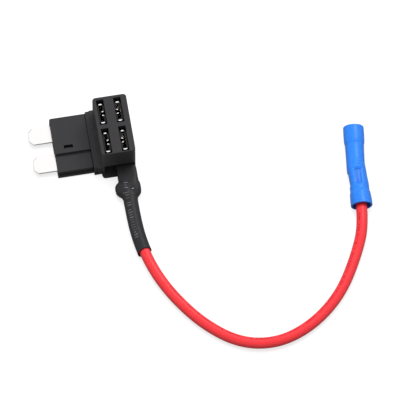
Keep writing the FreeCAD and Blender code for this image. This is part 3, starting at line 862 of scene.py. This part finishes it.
tinLook = {
    "colour": (0.985, 0.968, 0.958),
    "dull": (0.975, 0.935, 0.93),
    # darker edges: partly bare cut edges, partly painted shade along the outline
    "outline": (0.42, 0.41, 0.40),
    # near-black on the sockets' upward edges: bare sheared metal, and painted shade in the deep sockets
    "shearedAndShaded": (0.03, 0.029, 0.027),
    "roughness": 0.2, "edge": 0.00012, "lines": (1.0, 12.0, 12.0), "lineScale": 900.0,
    "topFrom": 0.0130,  # height above which an upward edge is painted dark
    "upFrom": 0.6,  # and how far its face has to look up
    "middle": 0.0045,  # X between the two columns of sockets
    "glintReach": 0.00018,
    # painted glints: place along Y, distance from the middle along X, half width
    "paintedGlints": [(0.00086, 0.00255, 0.00055), (0.00674, 0.00255, 0.00045),
               (-0.00844, 0.00255, 0.00055), (-0.00256, 0.00255, 0.00035),
               (0.00435, 0.0018, 0.0006), (0.00325, 0.0018, 0.0006),
               (-0.00495, 0.0018, 0.0006), (-0.00605, 0.0018, 0.0006)],
}
copperLook = {
    "colour": (0.86, 0.47, 0.30),
    "dull": (0.66, 0.32, 0.20),
    "outline": (0.5, 0.24, 0.15),
    "roughness": 0.3, "edge": 0.0001, "lines": (1.0, 10.0, 10.0), "lineScale": 1200.0,
}
paleInkLook = {
    "colour": (0.20, 0.20, 0.21),
    "thin": (0.06, 0.06, 0.064),
    "patchScale": 2200.0,
}
darkInkLook = {
    "colour": (0.42, 0.010, 0.018),
    "thin": (0.62, 0.014, 0.024),
    "patchScale": 2200.0,
}

housingPlastic = plasticMaterial("housing_plastic", housingLook)
coverPlastic = plasticMaterial("cover_plastic", coverLook)
shrinkPlastic = plasticMaterial("shrink_plastic", shrinkLook)
jacketPlastic = plasticMaterial("jacket_plastic", jacketLook)
nylon = plasticMaterial("connector_nylon", nylonLook)
tinPlate, tinColours, tinShader = metalMaterial("tin_plate", tinLook)
cutEdgeShadeAndGlints(tinPlate, tinColours, tinShader, tinLook)
copper = metalMaterial("bare_copper", copperLook)[0]
paleInk = inkMaterial("pale_ink", paleInkLook)
darkInk = inkMaterial("dark_ink", darkInkLook)
print("materials made")

# plain printed ticks along the sleeve and the wire, named as the tree's inputs
sleevePrintFacts = {
    "From": 0.4 * mm, "To": 17.6 * mm, "Spacing": 0.75 * mm, "Side": 1.15 * mm, "Rise": 2.4 * mm,
    "Along": 0.17 * mm, "Across": 2.1 * mm, "Keep": 0.8, "Seed": 4,
    "Lift": 0.008 * mm, "Thickness": 0.014 * mm,
}
wirePrintFacts = {
    "From": 36.0 * mm, "To": 124.0 * mm, "Spacing": 0.85 * mm, "Side": -0.85 * mm, "Rise": 1.6 * mm,
    "Along": 0.55 * mm, "Across": 0.6 * mm, "Keep": 0.62, "Seed": 11,
    "Lift": 0.008 * mm, "Thickness": 0.012 * mm,
}
tickStretch = {"least": (0.7, 0.45, 1.0), "most": (1.5, 1.0, 1.0)}


def tickTree():
    # grids set along a path, dropped on a surface and thickened into closed marks
    tree = bpy.data.node_groups.new("printed_ticks", "GeometryNodeTree")

    def given(name, kind, value=None):
        socket = tree.interface.new_socket(name=name, in_out="INPUT", socket_type=kind)
        if value is not None:
            socket.default_value = value

    given("Path", "NodeSocketGeometry")
    for name in ("From", "To", "Spacing", "Side", "Rise",
                 "Along", "Across", "Keep", "Lift", "Thickness"):
        given(name, "NodeSocketFloat", mm)
    given("Seed", "NodeSocketInt", 1)
    given("Surface", "NodeSocketObject")
    given("Ink", "NodeSocketMaterial")
    tree.interface.new_socket(name="Marks", in_out="OUTPUT", socket_type="NodeSocketGeometry")
    link = tree.links.new
    source = addNode(tree, "NodeGroupInput", (-1800, 0))
    result = addNode(tree, "NodeGroupOutput", (2600, 0))
    trim = addNode(tree, "GeometryNodeTrimCurve", (-1500, 0), mode="LENGTH")
    points = addNode(tree, "GeometryNodeCurveToPoints", (-1250, 0), mode="LENGTH")
    link(source.outputs["Path"], trim.inputs["Curve"])
    link(source.outputs["From"], trim.inputs[4])  # start, as a length
    link(source.outputs["To"], trim.inputs[5])  # end, as a length
    link(trim.outputs["Curve"], points.inputs["Curve"])
    link(source.outputs["Spacing"], points.inputs["Length"])
    sideways = addNode(tree, "ShaderNodeVectorMath", (-1250, -300), {1: up},
                       operation="CROSS_PRODUCT")
    level = addNode(tree, "ShaderNodeVectorMath", (-1050, -300), operation="NORMALIZE")
    aside = addNode(tree, "ShaderNodeVectorMath", (-850, -300), operation="SCALE")
    raised = addNode(tree, "ShaderNodeCombineXYZ", (-850, -500))
    shift = addNode(tree, "ShaderNodeVectorMath", (-650, -350), operation="ADD")
    moved = addNode(tree, "GeometryNodeSetPosition", (-450, 0))
    link(points.outputs["Tangent"], sideways.inputs[0])
    link(sideways.outputs["Vector"], level.inputs[0])
    link(level.outputs["Vector"], aside.inputs[0])
    link(source.outputs["Side"], aside.inputs["Scale"])
    link(source.outputs["Rise"], raised.inputs["Z"])
    link(aside.outputs["Vector"], shift.inputs[0])
    link(raised.outputs["Vector"], shift.inputs[1])
    link(points.outputs["Points"], moved.inputs["Geometry"])
    link(shift.outputs["Vector"], moved.inputs["Offset"])
    chance = addNode(tree, "FunctionNodeRandomValue", (-450, 300), data_type="BOOLEAN")
    turn = addNode(tree, "FunctionNodeAxesToRotation", (-450, -300),
                   primary_axis="Z", secondary_axis="X")
    grid = addNode(tree, "GeometryNodeMeshGrid", (-450, -550), {"Vertices X": 3, "Vertices Y": 11})
    stretch = addNode(tree, "FunctionNodeRandomValue", (-250, -750),
                      {0: tickStretch["least"], 1: tickStretch["most"]}, data_type="FLOAT_VECTOR")
    place = addNode(tree, "GeometryNodeInstanceOnPoints", (0, 0))
    real = addNode(tree, "GeometryNodeRealizeInstances", (250, 0))
    link(source.outputs["Keep"], chance.inputs["Probability"])
    link(source.outputs["Seed"], chance.inputs["Seed"])
    link(source.outputs["Seed"], stretch.inputs["Seed"])
    link(shift.outputs["Vector"], turn.inputs["Primary Axis"])
    link(points.outputs["Tangent"], turn.inputs["Secondary Axis"])
    link(source.outputs["Along"], grid.inputs["Size X"])
    link(source.outputs["Across"], grid.inputs["Size Y"])
    link(moved.outputs["Geometry"], place.inputs["Points"])
    link(chance.outputs[3], place.inputs["Selection"])  # true or false
    link(grid.outputs["Mesh"], place.inputs["Instance"])
    link(turn.outputs["Rotation"], place.inputs["Rotation"])
    link(stretch.outputs[0], place.inputs["Scale"])
    link(place.outputs["Instances"], real.inputs["Geometry"])
    surface = addNode(tree, "GeometryNodeObjectInfo", (250, -400), transform_space="ORIGINAL")
    near = addNode(tree, "GeometryNodeProximity", (500, -300), target_element="FACES")
    here = addNode(tree, "GeometryNodeInputPosition", (500, -600))
    outward = addNode(tree, "ShaderNodeVectorMath", (750, -500), operation="SUBTRACT")
    unit = addNode(tree, "ShaderNodeVectorMath", (950, -500), operation="NORMALIZE")
    lifted = addNode(tree, "ShaderNodeVectorMath", (1150, -500), operation="SCALE")
    landed = addNode(tree, "ShaderNodeVectorMath", (1350, -350), operation="ADD")
    dropped = addNode(tree, "GeometryNodeSetPosition", (1550, 0))
    link(source.outputs["Surface"], surface.inputs["Object"])
    link(surface.outputs["Geometry"], near.inputs[0])
    link(here.outputs["Position"], outward.inputs[0])
    link(near.outputs["Position"], outward.inputs[1])
    link(outward.outputs["Vector"], unit.inputs[0])
    link(unit.outputs["Vector"], lifted.inputs[0])
    link(source.outputs["Lift"], lifted.inputs["Scale"])
    link(near.outputs["Position"], landed.inputs[0])
    link(lifted.outputs["Vector"], landed.inputs[1])
    link(real.outputs["Geometry"], dropped.inputs["Geometry"])
    link(landed.outputs["Vector"], dropped.inputs["Position"])
    thick = addNode(tree, "GeometryNodeExtrudeMesh", (1800, 150), {"Individual": False},
                    mode="FACES")
    under = addNode(tree, "GeometryNodeFlipFaces", (1800, -150))
    whole = addNode(tree, "GeometryNodeJoinGeometry", (2000, 0))
    welded = addNode(tree, "GeometryNodeMergeByDistance", (2150, 0), {"Distance": 0.001 * mm})
    inked = addNode(tree, "GeometryNodeSetMaterial", (2350, 0))
    link(dropped.outputs["Geometry"], thick.inputs["Mesh"])
    link(source.outputs["Thickness"], thick.inputs["Offset Scale"])
    link(dropped.outputs["Geometry"], under.inputs["Mesh"])
    link(thick.outputs["Mesh"], whole.inputs["Geometry"])
    link(under.outputs["Mesh"], whole.inputs["Geometry"])
    link(whole.outputs["Geometry"], welded.inputs["Geometry"])
    link(welded.outputs["Geometry"], inked.inputs["Geometry"])
    link(source.outputs["Ink"], inked.inputs["Material"])
    link(inked.outputs["Geometry"], result.inputs["Marks"])
    return tree


def makePrint(name, tree, facts, surface, ink):
    guide = routeCurve(name + "_guide", wireRoute, 0.0, guideSteps)
    modifier = guide.modifiers.new("ticks", "NODES")
    modifier.node_group = tree
    chosen = dict(facts, Surface=surface, Ink=ink)
    for item in tree.interface.items_tree:
        if item.in_out == "INPUT" and item.name in chosen:
            modifier[item.identifier] = chosen[item.name]
    mesh = plainMesh(guide)
    bpy.data.objects.remove(guide)
    mesh.name = name
    return addObject(name, mesh)


ticks = tickTree()
sleevePrint = makePrint("sleeve_print", ticks, sleevePrintFacts, sleeve, paleInk)
wireSkin = addObject("wire_skin", plainMesh(wire))  # a curve has no faces to print on
wirePrint = makePrint("wire_print", ticks, wirePrintFacts, wireSkin, darkInk)
bpy.data.objects.remove(wireSkin)
print("print laid,", len(sleevePrint.data.polygons), "and", len(wirePrint.data.polygons), "faces")

# dressing: the listed nodes and every piece get their finish
dressing = {"housing_body": housingPlastic, "base_cover": coverPlastic, "feed_terminal": tinPlate,
            "load_terminal": tinPlate, "tap_terminal": tinPlate, "wire_conductor": copper}
for name, mat in dressing.items():
    nodes[name].data.materials.clear()
    nodes[name].data.materials.append(mat)

wire.data.materials.append(jacketPlastic)
sleeve.data.materials.append(shrinkPlastic)
nylonSleeve.data.materials.append(nylon)
barrel.data.materials.append(tinPlate)
slots = {wire: "insulation", sleeve: "shrink", nylonSleeve: "connector", barrel: "terminal",
         sleevePrint: "shrink", wirePrint: "insulation"}
for piece, slot in slots.items():
    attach(piece, "root")
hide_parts("wire_insulation")
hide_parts("heat_shrink_sleeve")
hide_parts("butt_connector_sleeve")
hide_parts("butt_connector_barrel")
print("pieces dressed")

# studio: pale floor, two soft lamps and an even room
stageFacts = {"size": 3.0, "white": (0.34, 0.34, 0.34), "glow": 0.74}


def floorMaterial(facts):
    # pale floor that the camera sees nearly white, with the object's shadow kept
    mat = newMaterial("studio_floor")
    tree = mat.node_tree
    link = tree.links.new
    diffuse = addNode(tree, "ShaderNodeBsdfDiffuse", (0, 100))
    diffuse.inputs["Color"].default_value = (*facts["white"], 1)
    glow = addNode(tree, "ShaderNodeEmission", (0, -100))
    glow.inputs["Color"].default_value = (1, 1, 1, 1)
    paths = addNode(tree, "ShaderNodeLightPath", (-600, -100))
    scale = addNode(tree, "ShaderNodeMath", (-200, -100), {1: facts["glow"]}, operation="MULTIPLY")
    total = addNode(tree, "ShaderNodeAddShader", (250, 0))
    output = addNode(tree, "ShaderNodeOutputMaterial", (450, 0))
    link(paths.outputs["Is Camera Ray"], scale.inputs[0])
    link(scale.outputs[0], glow.inputs["Strength"])
    link(diffuse.outputs[0], total.inputs[0])
    link(glow.outputs[0], total.inputs[1])
    link(total.outputs[0], output.inputs["Surface"])
    return mat


def makeFloor(facts):
    half = facts["size"] / 2
    mesh = bpy.data.meshes.new("studio_floor")
    corners = [(-half, -half, 0), (half, -half, 0), (half, half, 0), (-half, half, 0)]
    mesh.from_pydata(corners, [], [(0, 1, 2, 3)])
    floor = addObject("studio_floor", mesh)
    mesh.materials.append(floorMaterial(facts))


makeFloor(stageFacts)

lampAim = Vector((0.02, -0.03, 0))
lampFacts = [
    {"name": "key_softbox", "at": (0.02, 0.24, 0.88), "size": 0.60, "watts": 7.6, "mirrored": False},
    {"name": "sheen_softbox", "at": (0.42, 0.32, 0.75), "size": 0.30, "watts": 1.7, "mirrored": True},
]


def makeLamp(facts):
    data = bpy.data.lights.new(facts["name"], "AREA")
    data.shape = "SQUARE"
    data.size = facts["size"]
    data.energy = facts["watts"]
    lamp = addObject(facts["name"], data)
    lamp.location = facts["at"]
    lamp.visible_glossy = facts["mirrored"]  # the plated blades don't mirror the key light
    pointAlong(lamp, lampAim - Vector(facts["at"]))


for facts in lampFacts:
    makeLamp(facts)


worldFacts = {"room": 0.34, "backdrop": 1.0}


def makeWorld(facts):
    # the room lights with one level; the camera and mirrors see another
    world = bpy.data.worlds.new("studio_world")
    bpy.context.scene.world = world
    world.use_nodes = True
    tree = world.node_tree
    tree.nodes.clear()
    link = tree.links.new
    plain = addNode(tree, "ShaderNodeBackground", (0, 100))
    plain.inputs["Color"].default_value = (1, 1, 1, 1)
    plain.inputs["Strength"].default_value = facts["room"]
    seen = addNode(tree, "ShaderNodeBackground", (0, -100))
    seen.inputs["Color"].default_value = (1, 1, 1, 1)
    seen.inputs["Strength"].default_value = facts["backdrop"]
    paths = addNode(tree, "ShaderNodeLightPath", (-600, 0))
    either = addNode(tree, "ShaderNodeMath", (-400, 0), operation="MAXIMUM")
    mix = addNode(tree, "ShaderNodeMixShader", (250, 0))
    output = addNode(tree, "ShaderNodeOutputWorld", (450, 0))
    link(paths.outputs["Is Camera Ray"], either.inputs[0])
    link(paths.outputs["Is Glossy Ray"], either.inputs[1])
    link(either.outputs[0], mix.inputs["Fac"])
    link(plain.outputs[0], mix.inputs[1])
    link(seen.outputs[0], mix.inputs[2])
    link(mix.outputs[0], output.inputs["Surface"])


makeWorld(worldFacts)
bpy.context.scene.view_settings.view_transform = "Standard"
print("stage and lamps placed")
